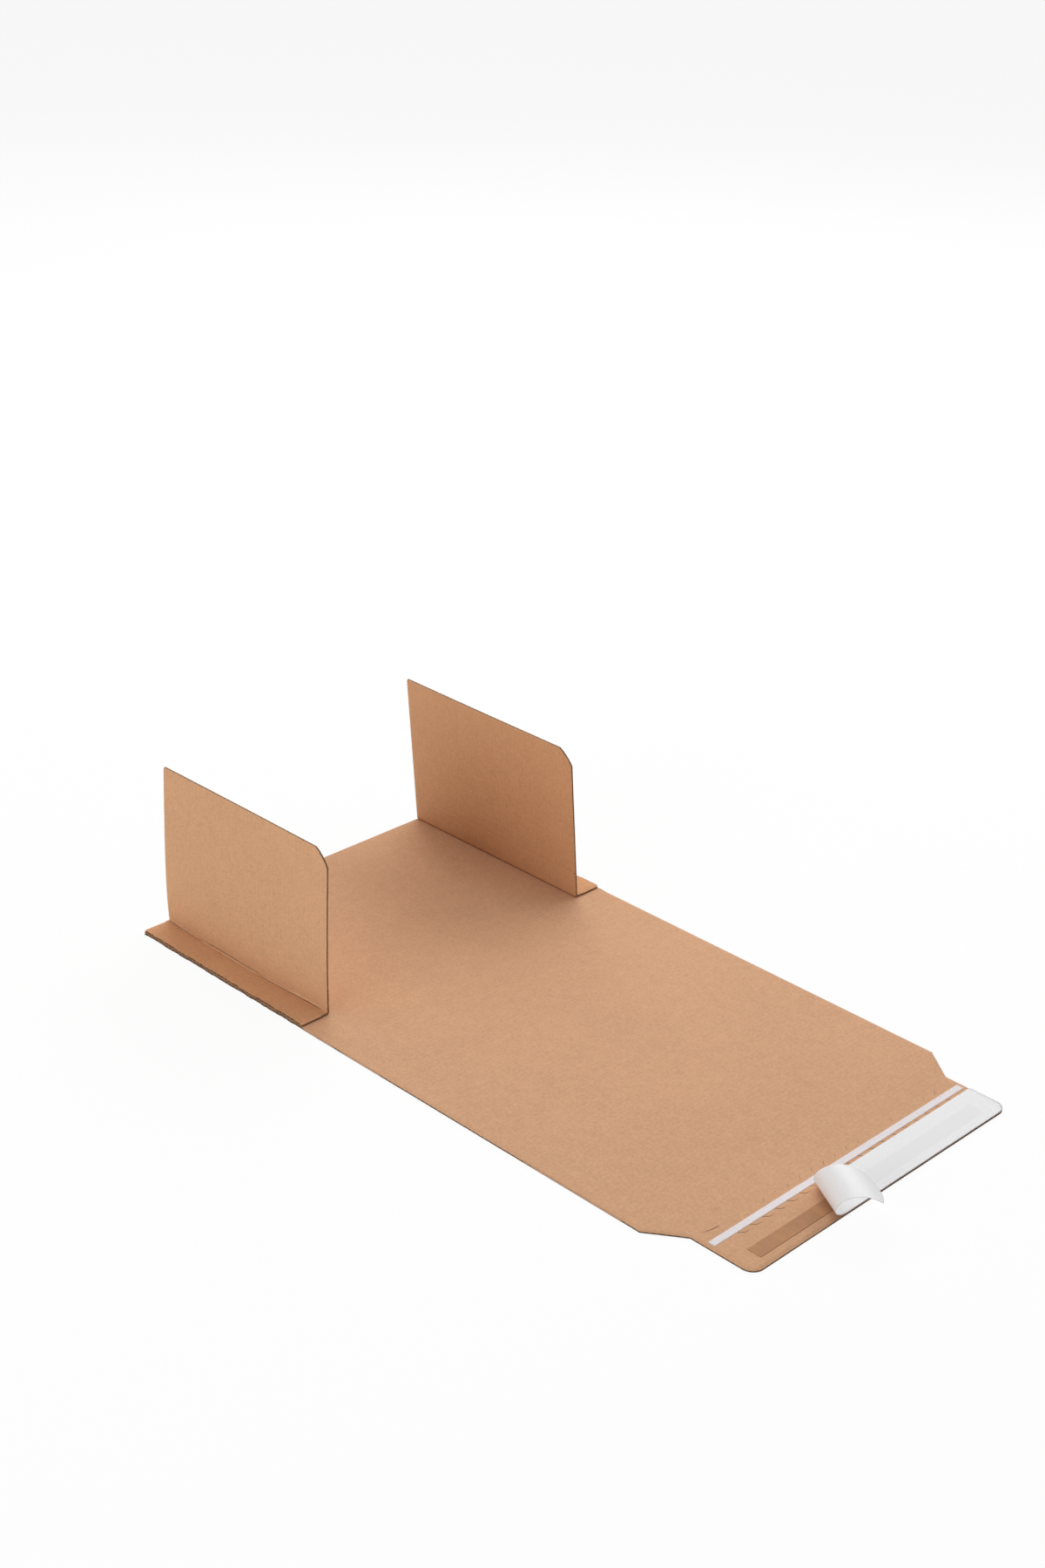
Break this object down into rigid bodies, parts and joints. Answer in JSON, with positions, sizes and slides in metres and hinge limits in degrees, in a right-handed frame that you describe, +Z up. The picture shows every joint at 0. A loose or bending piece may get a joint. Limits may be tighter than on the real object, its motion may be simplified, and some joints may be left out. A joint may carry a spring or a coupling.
{
  "type": "book wrap mailer",
  "caption": "Flat corrugated sheet with upright side flaps on glued feet, and a narrow tongue with tear tape, adhesive strip and peeled release liner.",
  "frame": {"origin": "middle of the long sheet's underside", "axes": "+X along the sheet toward the tongue, +Y across it toward the far flap, +Z up"},
  "size_m": [0.5221, 0.261, 0.1129],
  "materials": {
    "sheet_board": "uncoated kraft liner, matt",
    "foot_board": "uncoated kraft liner, matt",
    "flap_board": "uncoated kraft liner, matt",
    "glue": "dried glue film",
    "tear_tape": "satin white film",
    "adhesive": "clear tacky film over kraft board",
    "release_liner": "smooth siliconised white paper"
  },
  "bodies": {
    "root": {"wrap_sheet": "sheet_board", "near_foot": "foot_board", "far_foot": "foot_board", "near_glue": "glue", "far_glue": "glue", "tear_tape": "tear_tape", "adhesive_strip": "adhesive", "release_liner": "release_liner"},
    "near_side": {"near_flap": "flap_board"},
    "far_side": {"far_flap": "flap_board"}
  },
  "joints": [
    {"name": "near_fold", "type": "hinge", "parent": "root", "child": "near_side", "pos_m": [-0.1705, -0.11, 0.00345], "axis": [1, 0, 0], "range_deg": [-90, 90]},
    {"name": "far_fold", "type": "hinge", "parent": "root", "child": "far_side", "pos_m": [-0.1705, 0.11, 0.00345], "axis": [-1, 0, 0], "range_deg": [-84, 96]}
  ]
}
